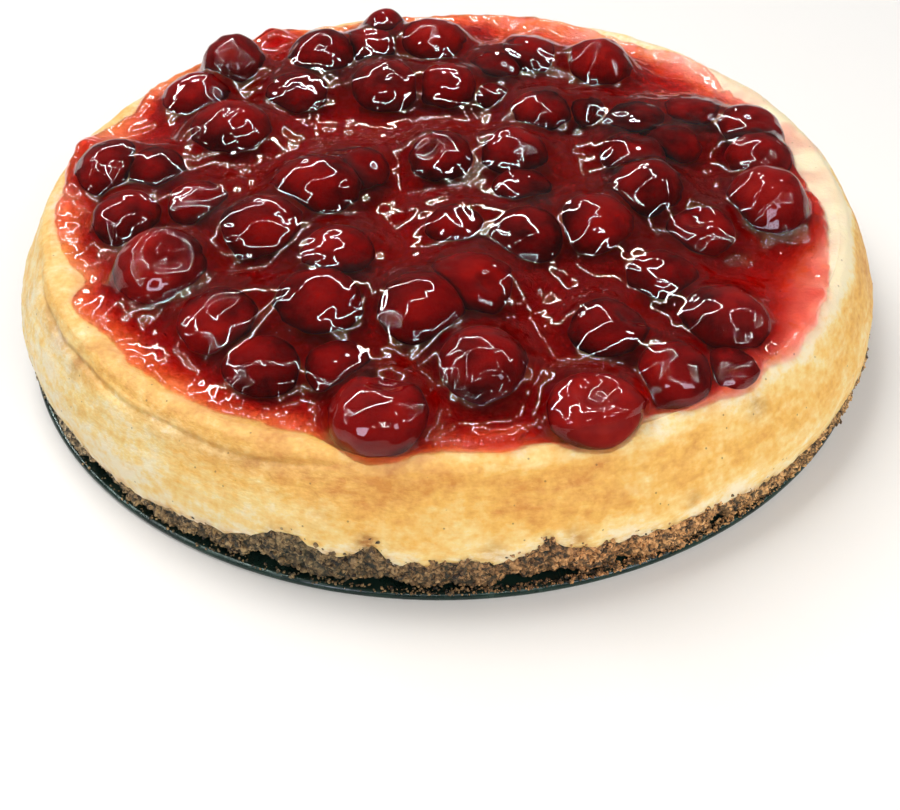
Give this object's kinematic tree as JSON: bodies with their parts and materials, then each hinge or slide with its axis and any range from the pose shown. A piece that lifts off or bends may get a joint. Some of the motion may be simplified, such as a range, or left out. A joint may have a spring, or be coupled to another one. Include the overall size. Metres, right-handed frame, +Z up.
{
  "type": "cherry cheesecake",
  "caption": "Whole round baked cheesecake on a crumb crust, topped with glazed cherries in red gel, on a thin steel tin base.",
  "frame": {"origin": "middle of the underside of the tin base, at the centre of the cake", "axes": "+Z up through the cake; +X to the right and -Y to the viewer in the picture"},
  "size_m": [0.23, 0.23, 0.0442],
  "materials": {
    "tin": "dark non-stick coating, satin",
    "crust": "pressed biscuit crumb, rough",
    "filling": "baked cream cheese, soft satin",
    "gel": "clear red starch gel, wet gloss",
    "cherry": "cooked cherry skin, glossy"
  },
  "bodies": {
    "root": {"pan_base": "tin", "crumb_crust": "crust", "filling": "filling", "cherry_gel": "gel", "cherry_01": "cherry", "cherry_02": "cherry", "cherry_03": "cherry", "cherry_04": "cherry", "cherry_05": "cherry", "cherry_06": "cherry", "cherry_07": "cherry", "cherry_08": "cherry", "cherry_09": "cherry", "cherry_10": "cherry", "cherry_11": "cherry", "cherry_12": "cherry", "cherry_13": "cherry", "cherry_14": "cherry", "cherry_15": "cherry", "cherry_16": "cherry", "cherry_17": "cherry", "cherry_18": "cherry", "cherry_19": "cherry", "cherry_20": "cherry", "cherry_21": "cherry", "cherry_22": "cherry", "cherry_23": "cherry", "cherry_24": "cherry", "cherry_25": "cherry", "cherry_26": "cherry", "cherry_27": "cherry", "cherry_28": "cherry", "cherry_29": "cherry", "cherry_30": "cherry", "cherry_31": "cherry", "cherry_32": "cherry", "cherry_33": "cherry", "cherry_34": "cherry", "cherry_35": "cherry", "cherry_36": "cherry", "cherry_37": "cherry", "cherry_38": "cherry", "cherry_39": "cherry", "cherry_40": "cherry", "cherry_41": "cherry", "cherry_42": "cherry", "cherry_43": "cherry", "cherry_44": "cherry", "cherry_45": "cherry", "cherry_46": "cherry", "cherry_47": "cherry", "cherry_48": "cherry", "cherry_49": "cherry", "cherry_50": "cherry", "cherry_51": "cherry", "cherry_52": "cherry", "cherry_53": "cherry", "cherry_54": "cherry"}
  },
  "joints": []
}
